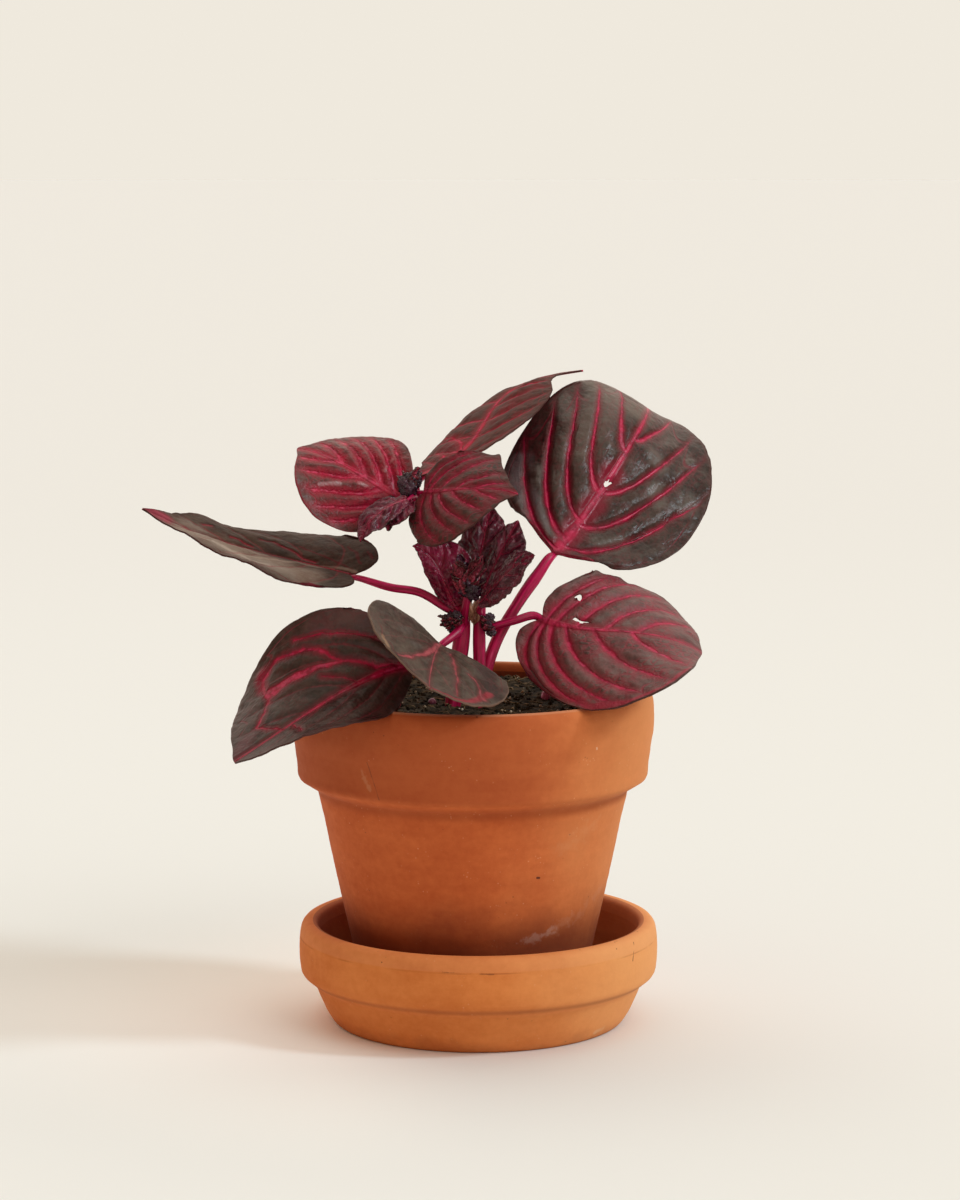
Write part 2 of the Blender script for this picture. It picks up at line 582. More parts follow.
youngShapes = {
    "young_leaf_drooping": {
        "base": (-21.3, -21.9, 161.3), "length": 19, "width": (4.7, 5.2), "heading": (205, 208, 215),
        "pitch": (-11, -34, -69), "roll": (-31, -30, -28), "curl": ((-15, -12, -9), (-17, -14, -10))},
    "young_leaf_folded": {
        "base": (-19.9, -19.5, 160.8), "length": 11.6, "width": (5.2, 5.3), "heading": (221, 219, 221),
        "pitch": (-29, -40, -52), "roll": (2, 4, 0), "curl": ((-15, -12, -10), (-16, -14, -10))},
    "young_leaf_left": {
        "base": (-7, -17.4, 129.1), "length": 21.7, "width": (4, 10.4), "heading": (170, 166, 178),
        "pitch": (60, 63, 23), "roll": (-61, -70, -54), "curl": ((-16, -14, -10), (-15, -7, -5))},
    "young_leaf_upright": {
        "base": (-0.7, -8.9, 132.3), "length": 26, "width": (9, 8.6), "heading": (51, 51, 63),
        "pitch": (89, 71, 71), "roll": (1, 9, 18), "curl": ((-19, -16, -10), (-15, -14, -10))},
    "young_leaf_notched": {
        "base": (1.4, -16, 132.7), "length": 23.4, "width": (6, 8.5), "heading": (6, 10, 25),
        "pitch": (71, 63, 60), "roll": (29, 34, 52), "curl": ((-22, -22, -12), (-15, -15, -12))},
    "young_leaf_right": {
        "base": (0.8, -24.9, 131.2), "length": 22, "width": (9.6, 9.4), "heading": (-26, -24, -18),
        "pitch": (50, 44, 28), "roll": (32, 36, 41), "curl": ((-19, -14, -9), (-15, -10, -8))},
    "young_leaf_back": {
        "base": (-8.1, -6, 128.3), "length": 13.2, "width": (2.9, 2.4), "heading": (168, 161, 154),
        "pitch": (62, 68, 76), "roll": (-47, -49, -50), "curl": ((-15, -14, -10), (-16, -14, -10))},
}


def alongLeaf(values, t):
    base, middle, tip = values
    return base * (1 - t) * (1 - 2 * t) + 4 * middle * t * (1 - t) + tip * t * (2 * t - 1)


def tangentAt(leaf, t):
    heading = math.radians(alongLeaf(leaf["heading"], t))
    pitch = math.radians(alongLeaf(leaf["pitch"], t))
    level = math.cos(pitch)
    return Vector((level * math.cos(heading), level * math.sin(heading), math.sin(pitch)))


def spineOf(leaf, steps=40):
    points = [Vector(leaf["base"])]
    for i in range(steps):
        points.append(points[-1] + tangentAt(leaf, (i + 0.5) / steps) * (leaf["length"] / steps))
    return points


def midribFrame(leaf, spine, t):
    inside = clamp(t)
    heading = math.radians(alongLeaf(leaf["heading"], inside))
    pitch = math.radians(alongLeaf(leaf["pitch"], inside))
    roll = math.radians(alongLeaf(leaf["roll"], inside))
    tangent = tangentAt(leaf, inside)
    slope = -math.sin(pitch)
    flatUp = Vector((slope * math.cos(heading), slope * math.sin(heading), math.cos(pitch)))
    flatLeft = flatUp.cross(tangent)
    up = flatUp * math.cos(roll) - flatLeft * math.sin(roll)
    left = flatLeft * math.cos(roll) + flatUp * math.sin(roll)
    steps = len(spine) - 1
    place = min(int(inside * steps), steps - 1)
    point = spine[place].lerp(spine[place + 1], inside * steps - place)
    return point + tangent * ((t - inside) * leaf["length"]), left, up


def halfWidth(x, outline):
    nearBase, nearTip = outline
    widest = nearBase / (nearBase + nearTip)
    inside = clamp(x)
    return (inside / widest) ** nearBase * ((1 - inside) / (1 - widest)) ** nearTip


def betweenVeins(veins, s):
    marks = [-veins[0], *veins, 2 - veins[-1]]
    for a, b in zip(marks, marks[1:]):
        if s <= b:
            return math.sin(math.pi * (s - a) / (b - a))
    return 0


def leafPoint(leaf, spine, s, v, side):
    # Lines of equal s run as the lateral veins do, from the midrib out to the margin at v 1 or -1.
    out = abs(v)
    width = leaf["width"][side]
    onMidrib = s ** leaf["crowd"]
    onMargin = leaf["basal"] + (1 - leaf["basal"]) * (1 - (1 - s) ** leaf["sweep"])
    arch = leaf["arch"] + (1 - leaf["arch"]) * max(0, 1 - 4 * s) ** 2
    x = onMidrib + (onMargin - onMidrib) * ((1 - arch) * out + arch * out * out)
    x -= leaf["lobe"][side] * (4 * out * (1 - out) * (1 - s) ** 3 + 0.35 * out * (1 - s) ** 4)
    ragged = 1 + leaf["ragged"] * noise.noise(Vector((9 * s, side * 5, leaf["length"]))) * out ** 6
    y = width * halfWidth(onMargin, leaf["outline"]) * out * ragged
    for bulgeSide, at, reach, rise in leaf["bulge"]:
        if bulgeSide == side:
            y += rise * math.exp(-(((s - at) / reach) ** 2)) * out ** 1.5
    toTip = min(max((x - 0.8) / 0.2, 0), 1.2)
    x += leaf["tip"] * toTip * toTip * math.exp(-((y / (0.16 * width)) ** 2))
    bend = math.radians(alongLeaf(leaf["curl"][side], clamp(x)))
    if abs(bend) < 0.001:
        bend = 0.001
    turn = bend * y / width
    flat = math.sin(turn) * width / bend
    rise = (1 - math.cos(turn)) * width / bend
    fold = math.radians(leaf["fold"][side])
    across = flat * math.cos(fold) - rise * math.sin(fold)
    height = flat * math.sin(fold) + rise * math.cos(fold)
    waveHeight, waves, phase = leaf["wave"]
    fade = min(1, 4 * (1 - s))
    height += waveHeight * out ** 2.2 * fade * math.sin(2 * math.pi * (waves * s + phase + 0.27 * side))
    swell = math.sin(math.pi * min(1, 1.15 * out))
    height += 1.3 * leaf["quilt"] * betweenVeins(leaf["veins"][side], s) * swell * fade
    height += 0.35 * math.exp(-((y / 1.1) ** 2)) * (1 - s)  # the midrib stands up a little
    wrinkle = noise.noise(Vector((x * leaf["length"], y * (1 - 2 * side), 7.0)) * 0.28)
    wrinkle += 0.5 * noise.noise(Vector((x * leaf["length"], y * (1 - 2 * side), 3.0)) * 0.62)
    height += leaf["pucker"] * wrinkle * min(1, 3 * out) * fade
    if leaf["crumple"]:
        crease = noise.noise(Vector((x * leaf["length"], y * (1 - 2 * side), leaf["length"])) * 0.55)
        height += leaf["crumple"] * (0.35 - abs(crease)) * min(1, 4 * out)
    point, left, up = midribFrame(leaf, spine, x)
    return point + left * (-across if side else across) + up * height, (y, x)


def veinCount(veins, s):
    # Counts the lateral veins up to s, a whole number on each of them.
    marks = [(0, 0.45), *((at, i + 1) for i, at in enumerate(veins)), (1, len(veins) + 0.55)]
    for (a, low), (b, high) in zip(marks, marks[1:]):
        if s <= b:
            return low + (high - low) * (s - a) / (b - a), (high - low) / (b - a)
    return marks[-1][1], 1


def leafRows(leaf, finest):
    marks = sorted({0, *leaf["veins"][0], *leaf["veins"][1], 1})
    rows = [0]
    for a, b in zip(marks, marks[1:]):
        count = max(1, round((b - a) / finest))
        rows.extend(a + (b - a) * (i + 1) / count for i in range(count))
    return rows


def holeViews(leaf, spine):
    # What is needed to measure round each hole: its place, and how the blade runs there.
    step = 0.01
    for atS, atV, long, short, turn in leaf["holes"]:
        side = 0 if atV >= 0 else 1
        outward = step * (1 - 2 * side)
        here, _ = leafPoint(leaf, spine, atS, atV, side)
        perS = (leafPoint(leaf, spine, atS + step, atV, side)[0] - here) / step
        perV = (leafPoint(leaf, spine, atS, atV + outward, side)[0] - here) / outward
        tangent = tangentAt(leaf, atS ** leaf["crowd"])
        normal = perS.cross(perV).normalized()
        flat = (tangent - normal * tangent.dot(normal)).normalized()
        longWay = Matrix.Rotation(math.radians(turn), 3, normal) @ flat
        yield atS, atV, perS, perV, longWay * 2 / long, normal.cross(longWay) * 2 / short


def fromHole(view, s, v):
    # How far out from the hole's middle, 1 on its nibbled edge.
    atS, atV, perS, perV, longWay, across = view
    offset = perS * (s - atS) + perV * (v - atV)
    x, y = offset.dot(longWay), offset.dot(across)
    angle = math.atan2(y, x)
    return math.hypot(x, y) / (1 + 0.16 * math.sin(3 * angle + 20 * atS) + 0.08 * math.sin(5 * angle))


# Distances from a hole's middle, where 1 is its edge: corners nearer than "eaten" go, those next to them move
# onto the edge, and the rest out to "settled" make room, from "second" outward.
holeRings = {"eaten": 0.8, "second": 1.1, "settled": 2.5}


def openHoles(leaf, spine, rows, columns, spots):
    moved, eaten = {}, set()
    second, settled = holeRings["second"], holeRings["settled"]
    near = [(i, j) for i in (-1, 0, 1) for j in (-1, 0, 1)]
    for view in holeViews(leaf, spine):
        away = {spot: fromHole(view, rows[spot[0]], columns[spot[1]]) for spot in spots}
        inside = {spot for spot, far in away.items() if far < holeRings["eaten"]}
        eaten |= inside
        for spot, far in away.items():
            if spot in inside or far > settled:
                continue
            onEdge = any((spot[0] + i, spot[1] + j) in inside for i, j in near)
            push = (1 if onEdge else max(far, second + (far - 1) * (settled - second) / (settled - 1))) / far
            s, v = rows[spot[0]], columns[spot[1]]
            moved[spot] = (view[0] + (s - view[0]) * push, view[1] + (v - view[1]) * push)
    return moved, eaten


thinnest = 0.36  # the share of its full thickness that a blade keeps away from the midrib
widestVeinGap = 40  # millimetres


def addBlade(bm, given, rows, sideColumns):
    leaf = {**ordinary, **given}
    spine = spineOf(leaf)
    columns = sorted([-v for v in sideColumns if v > 0] + sideColumns)
    tall, wide = len(rows) - 1, len(columns) - 1
    veinsMap, bladeMap, ribMap = (bm.loops.layers.uv[name] for name in ("veins", "blade", "rib"))
    weight = bm.verts.layers.deform.active
    made = bmesh.ops.create_grid(bm, x_segments=tall, y_segments=wide, size=1)
    corners = made["verts"]
    spots = {corner: gridSpot(corner, tall, wide) for corner in corners}
    found = {}
    moved, eaten = openHoles(leaf, spine, rows, columns, spots.values())
    for corner in corners:
        row, column = spots[corner]
        s, v = moved.get((row, column), (rows[row], columns[column]))
        side = 0 if v >= 0 else 1
        point, (y, x) = leafPoint(leaf, spine, s, v, side)
        # How many millimetres the veins stand apart here, from points a little way ahead and beside.
        step = 0.003 if s < 0.99 else -0.003
        ahead, _ = leafPoint(leaf, spine, s + step, v, side)
        inward = 0.02 if abs(v) < 0.5 else -0.02
        beside, _ = leafPoint(leaf, spine, s, v + inward * (1 - 2 * side), side)
        lengthwise, across = (ahead - point) / step, (beside - point)
        perS = lengthwise.cross(across).length / max(across.length, 1e-6)
        found[corner] = (s, v, y, x, perS)
        corner.co = point * mm
        ridge = math.exp(-((y / 1.2) ** 2)) * (1 - 0.8 * s)
        corner[weight][0] = thinnest + (1 - thinnest) * ridge
    for face in {f for corner in corners for f in corner.link_faces}:
        side = 0 if sum(columns[spots[c][1]] for c in face.verts) > 0 else 1
        for loop in face.loops:
            s, v, y, x, perS = found[loop.vert]
            count, perCount = veinCount(leaf["veins"][side], s)
            loop[veinsMap].uv = (count, min(perS / perCount, widestVeinGap))
            loop[bladeMap].uv = (s, v)
            loop[ribMap].uv = (-y if side else y, x)
    bmesh.ops.delete(bm, geom=[c for c in corners if spots[c] in eaten], context="VERTS")
    bmesh.ops.remove_doubles(bm, verts=[c for c in corners if c.is_valid], dist=1e-6)


def startBlades():
    bm = bmesh.new()
    for name in ("veins", "blade", "rib"):
        bm.loops.layers.uv.new(name)
    bm.verts.layers.deform.new()
    return bm


def finishBlades(name, bm, materials, nodes, thick):
    piece = finishPiece(name, bm, materials, nodes)
    piece.vertex_groups.new(name="thickness")
    addModifier(piece, "SOLIDIFY", thickness=thick * mm / thinnest, offset=-1, vertex_group="thickness",
                material_offset=1, material_offset_rim=2, use_quality_normals=True)


def makeStrokeGroup():
    # How far a place on the flat blade lies outside a vein that runs between two others.
    takes = {"Place": (0.0, 0.0, 0.0), "From": (0.0, 0.0, 0.0), "To": (0.0, 0.0, 0.0), "Start": 1.0,
             "End": 1.0}
    w, given = startGroup("veinStroke", takes)
    away, reach = fromLine(w, given["Place"], given["From"], given["To"])
    return endGroup(w, {"Gap": away - (given["Start"] + reach * (given["End"] - given["Start"]))})


def makeVeinGroup():
    takes = {"Vein": 0.6, "Rib": 1.6, "Glow": 2.2, "Net": 0.5, "Wander": 0.12, "Relief": 1.0, "Feather": 0.7,
             "Faint": 1.0, "Stroke": noStroke}
    w, given = startGroup("leafVeins", takes)
    place = w.place()
    count, spacing = w.pair("veins")
    fromRib, x = w.pair("rib")
    fromRib, out = abs(fromRib), abs(w.pair("blade")[1])
    feather = (w.noise(place, 620, 3, 0.7) - 0.5) * given["Feather"]
    count = count + (w.noise(place, 75, 3) - 0.5) * given["Wander"]
    near = abs(count - w.math("ROUND", count)) * spacing + feather
    uneven = w.ease(w.noise(place, 170, 2), 0.3, 0.7, 0.7, 1.3)

    # Lateral veins thin out and fade toward the margin.
    reach = given["Vein"] * uneven * w.ease(out, 0.0, 1.0, 1.25, 0.55)
    fade = w.ease(out, 0.82, 0.97, 1, 0) * given["Faint"]
    vein = w.ease(near, reach * 0.2, reach * 1.25, 1, 0) * fade
    centre = w.ease(near, 0.0, reach * 0.55, 1, 0) * fade
    glow = w.ease(near, reach * 0.3, reach + given["Glow"], 1, 0)
    glow = glow * (w.ease(out, 0.8, 1.0, 1, 0.35) * given["Faint"])

    # The midrib is widest at the base.
    ribReach = given["Rib"] * ((1.0 - x) ** 2.0 * 0.72 + 0.28) * w.ease(uneven, 0.7, 1.3, 0.88, 1.12)
    rib = w.ease(fromRib, ribReach * 0.5, ribReach * 1.15, 1, 0)
    ribCentre = w.ease(fromRib, 0.0, ribReach * 0.5, 1, 0)
    glow = w.highest(glow, w.ease(fromRib, ribReach * 0.7, ribReach + given["Glow"] * 1.1, 1, 0))

    # Strokes stand out from the regular veins.
    gap = given["Stroke"] + feather
    vein = w.highest(vein, w.ease(gap, -0.45, 0.25, 1, 0))
    centre = w.highest(centre, w.ease(gap, -0.9, -0.1, 1, 0))
    glow = w.highest(glow, w.ease(gap, 0.0, given["Glow"], 1, 0))

    # The fine net is loops along the margin, rungs between the veins, and small cells.
    crest = w.math("SINE", w.math("FRACT", count) * math.pi)
    loop = w.ease(abs(out + crest * 0.07 - 0.93), 0.002, 0.017, 1, 0)
    loop = loop * w.ease(w.noise(place, 90, 2), 0.4, 0.6, 0.1, 0.8)
    rungs = abs(w.math("FRACT", fromRib * 0.4 + w.noise(place, 60, 3) * 2.4) - 0.5)
    rungs = w.ease(rungs, 0.0, 0.16, 1, 0) * w.ease(out, 0.08, 0.25)
    shaken = w.vector("ADD", place, w.vector("MULTIPLY", w.noise(place, 260, 2), (0.003, 0.003, 0.003)))
    net = w.ease(w.cells(shaken, 430, "DISTANCE_TO_EDGE"), 0.03, 0.2, 0.8, 0)
    net = w.highest(net, rungs * 0.9) * w.ease(w.noise(place, 130, 2), 0.35, 0.62, 0.15, 1)
    net = w.highest(net * given["Net"], loop)

    pucker = w.noise(place, 210, 2, 0.5) * 0.8 * (1.0 - glow)
    grain = w.noise(place, 900, 3, 0.6) * 0.1
    groove = w.highest(vein, net * 0.6) * -0.22
    return endGroup(w, {
        "Vein": w.highest(vein, rib), "Centre": w.highest(centre, ribCentre), "Glow": glow, "Net": net,
        "Mottle": w.noise(place, 420, 5, 0.7), "Cloud": w.noise(place, 95, 4, 0.6),
        "Margin": w.ease(out, 0.975, 0.998), "Crest": crest,
        "Height": (pucker + grain + (groove + rib * 0.2)) * given["Relief"]})


noStroke = 50.0  # millimetres, farther from a stroke than its glow reaches
strokeGroup = makeStrokeGroup()
veinGroup = makeVeinGroup()

# Strokes are veins that stand out from the regular ones. Their places, and those of the patches, are the
# share of the way to the tip and the millimetres from the midrib, plus on its left. A stroke ends with its
# half widths at both ends in millimetres, a patch with its reach, colour and strength.
plainLook = {
    "dark": (0.02, 0.0075, 0.0068), "light": (0.05, 0.021, 0.018), "glow": (0.19, 0.005, 0.022),
    "vein": (0.4, 0.003, 0.048), "pink": (0.66, 0.055, 0.16), "margin": (0.06, 0.02, 0.017),
    "bloom": (0.2, 0.175, 0.165), "bloomShare": 0.25, "veinReach": 0.7, "veinShare": 1.0, "ribReach": 1.6,
    "glowReach": 1.9, "glowShare": 0.75, "net": 0.3, "wander": 0.14, "feather": 0.7, "faint": 1.0,
    "rough": (0.3, 0.46), "shine": 0.25, "relief": 1.0, "strokes": (), "patches": (), "length": 1.0,
}
underLook = {
    "dark": (0.1, 0.014, 0.022), "light": (0.16, 0.03, 0.036), "glow": (0.24, 0.014, 0.035),
    "vein": (0.4, 0.02, 0.06), "pink": (0.55, 0.06, 0.12), "net": 0.7, "rough": (0.5, 0.62), "faint": 1.0,
    "strokes": (), "patches": (), "bloomShare": 0.0,
}
# Colours of patches that come back.
sheen, glint, paleFold = (0.16, 0.14, 0.125), (0.7, 0.55, 0.6), (0.4, 0.32, 0.27)
redLine, shadow = (0.14, 0.01, 0.018), (0.03, 0.014, 0.012)
leafLooks = {
    "leaf_upper_right": {
        "dark": (0.018, 0.0095, 0.0075), "light": (0.052, 0.028, 0.022), "ribReach": 2.1, "veinReach": 0.78,
        "glowReach": 1.6, "bloomShare": 0.5, "bloom": (0.17, 0.145, 0.13), "rough": (0.26, 0.4),
        "patches": [
            (((0.86, 19), (0.79, 13.3), (0.8, 6.3), (0.81, 2.7)), 7, (0.15, 0.115, 0.09), 0.6),
            (((0.33, 27.9), (0.22, 24.8), (0.15, 17.8), (0.07, 9)), 4.5, (0.2, 0.165, 0.175), 0.45),
            (((0.45, 14), (0.8, 12)), 9, (0.14, 0.105, 0.09), 0.6),
            (((0.67, 26.8), (0.6, 22)), 4.5, sheen, 0.5),
            (((0.63, -8.1), (0.6, -11)), 4, sheen, 0.5),
            (((0.49, -13.6), (0.45, -16)), 4, sheen, 0.5),
            (((0.54, -24.6), (0.5, -25)), 4, sheen, 0.45),
            (((0.19, -14), (0.15, -11)), 4, sheen, 0.45),
            (((0.02, 0), (0.45, 0)), 5, (0.24, 0.004, 0.028), 0.8)]},
    "leaf_lower_right": {
        "dark": (0.07, 0.032, 0.03), "light": (0.165, 0.085, 0.082), "glow": (0.27, 0.022, 0.044),
        "vein": (0.42, 0.01, 0.055), "veinReach": 0.9, "veinShare": 0.8, "ribReach": 1.3,
        "glowReach": 2.4, "net": 0.9, "rough": (0.34, 0.5), "bloomShare": 0.5, "feather": 1.1,
        "patches": [
            (((0.05, 20), (0.2, 28)), 5, (0.1, 0.06, 0.045), 0.7),
            (((0.2, -20.5), (0.4, -28), (0.6, -30.4), (0.8, -27.4), (0.95, -17.3)), 1.3, (0.42, 0.03, 0.07),
             0.7)]},
    "leaf_long_left": {
        "dark": (0.032, 0.018, 0.013), "light": (0.08, 0.05, 0.037), "glow": (0.13, 0.012, 0.018),
        "vein": (0.34, 0.01, 0.034), "pink": (0.5, 0.07, 0.1), "veinReach": 0.5, "ribReach": 0.4,
        "glowReach": 1.3, "glowShare": 0.55, "faint": 0.25, "rough": (0.5, 0.62), "shine": 0.12,
        "bloomShare": 0.1,
        "strokes": [
            (((0.18, -0.9), (0.24, -1.9), (0.29, -3.8), (0.37, -5), (0.4, -6.6), (0.46, -6.7)), 0.45, 0.35),
            (((0.49, -1.9), (0.52, -2), (0.56, -3), (0.6, -3.1)), 0.3, 0.25),
            (((0.69, -6.3), (0.74, -5.5)), 0.3, 0.25)],
        "patches": [
            (((0.18, 11), (0.45, 10), (0.8, 3)), 10, (0.27, 0.21, 0.17), 0.85),
            (((-0.04, 10), (0.02, 16)), 5, (0.045, 0.028, 0.02), 0.75),
            (((-0.02, -4.7), (0.04, -8.6), (0.1, -11.5)), 0.6, redLine, 0.6),
            (((-0.06, -7.6), (-0.01, -9.8)), 0.6, redLine, 0.6),
            (((-0.02, -1), (0.07, -3.3), (0.21, -5.3), (0.29, -7.8)), 0.6, redLine, 0.6),
            (((-0.02, -1), (0.08, -1.4), (0.16, 1.1), (0.26, 1.4), (0.37, 7.2), (0.45, 10.3), (0.64, 8.9)),
             1.1, paleFold, 0.6),
            (((0.39, 14), (0.49, 15.9), (0.56, 11), (0.69, 7.4)), 1.1, paleFold, 0.55),
            (((0.42, 2.1), (0.49, 4.7), (0.59, 0.1), (0.68, 2.6)), 1.1, (0.38, 0.3, 0.26), 0.5),
            (((0.93, 0), (1.02, 0)), 3.4, (0.4, 0.05, 0.09), 0.8)]},
    "leaf_lower_left": {
        "dark": (0.022, 0.013, 0.01), "light": (0.062, 0.038, 0.031), "veinReach": 0.5, "faint": 0.16,
        "glowReach": 1.9, "glowShare": 0.6, "vein": (0.34, 0.003, 0.036), "net": 0.25, "ribReach": 1.7,
        "bloomShare": 0.2, "feather": 1.0,
        "strokes": [
            (((0.05, -0.4), (0.18, -2.4), (0.3, -8.8)), 0.5, 0.55),
            (((0.3, -8.8), (0.37, -9.7), (0.5, -13.7), (0.65, -17)), 0.5, 1.9),
            (((0.3, -8.8), (0.33, -12), (0.4, -19.5), (0.5, -24.9), (0.61, -24), (0.66, -19)), 0.5, 0.9),
            (((0.1, -9), (0.23, -14.7), (0.4, -24.3)), 0.15, 0.4),
            (((0.65, -17), (0.72, -12.6), (0.82, -8.4), (0.79, -3.8), (0.74, 0)), 0.7, 0.35),
            (((0.3, -0.5), (0.36, -4.8), (0.42, -7.4)), 0.25, 0.35),
            (((0.69, 1), (0.71, 7.9)), 0.3, 0.2)],
        "patches": [
            (((0.59, -27), (0.64, -22)), 3.6, (0.3, 0.006, 0.04), 0.8),
            (((0.1, -15), (0.3, -23)), 5, (0.16, 0.075, 0.08), 0.35),
            (((0.9, -6), (1, -2)), 4, (0.1, 0.02, 0.03), 0.6)]},
    "leaf_front": {
        "dark": (0.044, 0.03, 0.023), "light": (0.105, 0.08, 0.062), "glow": (0.15, 0.03, 0.034),
        "vein": (0.36, 0.07, 0.085), "pink": (0.5, 0.14, 0.15), "veinReach": 0.4, "ribReach": 0.55,
        "glowReach": 1.6, "glowShare": 0.45, "faint": 0.12, "rough": (0.42, 0.58), "shine": 0.18,
        "margin": (0.15, 0.09, 0.065), "bloomShare": 0.25,
        "strokes": [
            (((0.06, 0), (0.21, -0.7), (0.34, -2.2), (0.5, -5.1), (0.67, -9.3), (0.76, -12)), 1.0, 0.5),
            (((0.16, 4.4), (0.37, 6.9), (0.55, 8.2), (0.78, 9.3)), 0.4, 0.35),
            (((0.38, 11), (0.53, 15.6), (0.66, 17.4)), 0.3, 0.6)],
        "patches": [
            (((0.2, 16), (0.5, 20)), 5, shadow, 0.8),
            (((0.43, 13.3), (0.39, 17.9), (0.39, 21.3)), 3, shadow, 0.7),
            (((0.95, -3), (0.89, 9.5), (0.8, 12.9), (0.68, 15.9), (0.54, 18.7)), 1.6, (0.3, 0.022, 0.04),
             0.85),
            (((0.64, -18.1), (0.76, -16)), 1.5, (0.34, 0.21, 0.13), 0.8)]},
    "leaf_upper_left": {
        "dark": (0.034, 0.013, 0.012), "light": (0.1, 0.036, 0.034), "glow": (0.32, 0.008, 0.032),
        "vein": (0.44, 0.009, 0.05), "veinReach": 1.15, "ribReach": 1.5, "glowReach": 2.8, "glowShare": 0.95,
        "pink": (0.72, 0.09, 0.2), "net": 0.5, "rough": (0.26, 0.42), "relief": 1.3,
        "margin": (0.22, 0.016, 0.03), "feather": 2.2, "wander": 0.4, "veinShare": 0.75,
        "bloom": (0.1, 0.06, 0.05), "bloomShare": 0.85,
        "patches": [
            (((0.05, -4), (0.2, 4)), 5, (0.1, 0.004, 0.028), 0.7),
            (((0.65, 11.4), (0.52, 7.5)), 0.8, glint, 0.45),
            (((0.41, 2.9), (0.3, 2.4)), 0.8, glint, 0.5),
            (((0.3, -5.2), (0.3, -9.8)), 0.8, glint, 0.5)]},
    "leaf_upper_centre": {
        "dark": (0.028, 0.013, 0.01), "light": (0.075, 0.036, 0.03), "glow": (0.2, 0.009, 0.026),
        "vein": (0.33, 0.006, 0.04), "veinReach": 0.6, "ribReach": 1.2, "glowReach": 2.4, "glowShare": 0.85,
        "net": 0.9, "rough": (0.4, 0.54), "shine": 0.16, "feather": 1.5, "veinShare": 0.7,
        "bloomShare": 0.15},
    "leaf_top": {
        "dark": (0.03, 0.012, 0.009), "light": (0.085, 0.034, 0.027), "glow": (0.22, 0.01, 0.02),
        "vein": (0.4, 0.006, 0.038), "veinReach": 0.6, "ribReach": 1.9, "glowReach": 2.6, "glowShare": 0.85,
        "net": 0.6, "rough": (0.5, 0.62), "shine": 0.1, "faint": 0.6, "feather": 1.5, "bloomShare": 0.1,
        "strokes": [
            (((0.2, -0.6), (0.31, 4.7), (0.4, 10.6), (0.46, 15)), 0.7, 0.4),
            (((0.12, 1), (0.2, 7), (0.24, 11)), 0.5, 0.5)],
        "patches": [
            (((0.0, 1), (0.2, 2)), 4, (0.26, 0.01, 0.034), 0.6),
            (((0.1, -4), (0.3, 10)), 6, (0.18, 0.012, 0.025), 0.5),
            (((0.42, -4), (0.7, -12)), 4, (0.14, 0.014, 0.018), 0.6)]},
}
youngLook = {
    "dark": (0.03, 0.008, 0.015), "light": (0.14, 0.03, 0.052), "glow": (0.23, 0.008, 0.042),
    "vein": (0.34, 0.006, 0.05), "veinReach": 0.28, "ribReach": 0.75, "glowReach": 1.2, "net": 0.6,
    "rough": (0.2, 0.36), "wander": 0.4, "feather": 0.7, "veinShare": 0.75, "faint": 0.6, "relief": 2.0,
    "shine": 0.45, "bloom": (0.16, 0.1, 0.13), "bloomShare": 0.35,
}
redLook = {"dark": (0.08, 0.004, 0.02), "light": (0.26, 0.012, 0.055), "glow": (0.34, 0.01, 0.06)}


def strokeGap(w, flat, length, places, start=0.0, end=0.0):
    spots = [(share * length, across, 0) for share, across in places]
    widths = [start + (end - start) * i / (len(spots) - 1) for i in range(len(spots))]
    gaps = []
    for here, there, first, last in zip(spots, spots[1:], widths, widths[1:]):
        feeds = {"Place": flat, "From": here, "To": there, "Start": first, "End": last}
        gaps.append(w.group(strokeGroup, feeds)["Gap"])
    return w.lowest(*gaps)


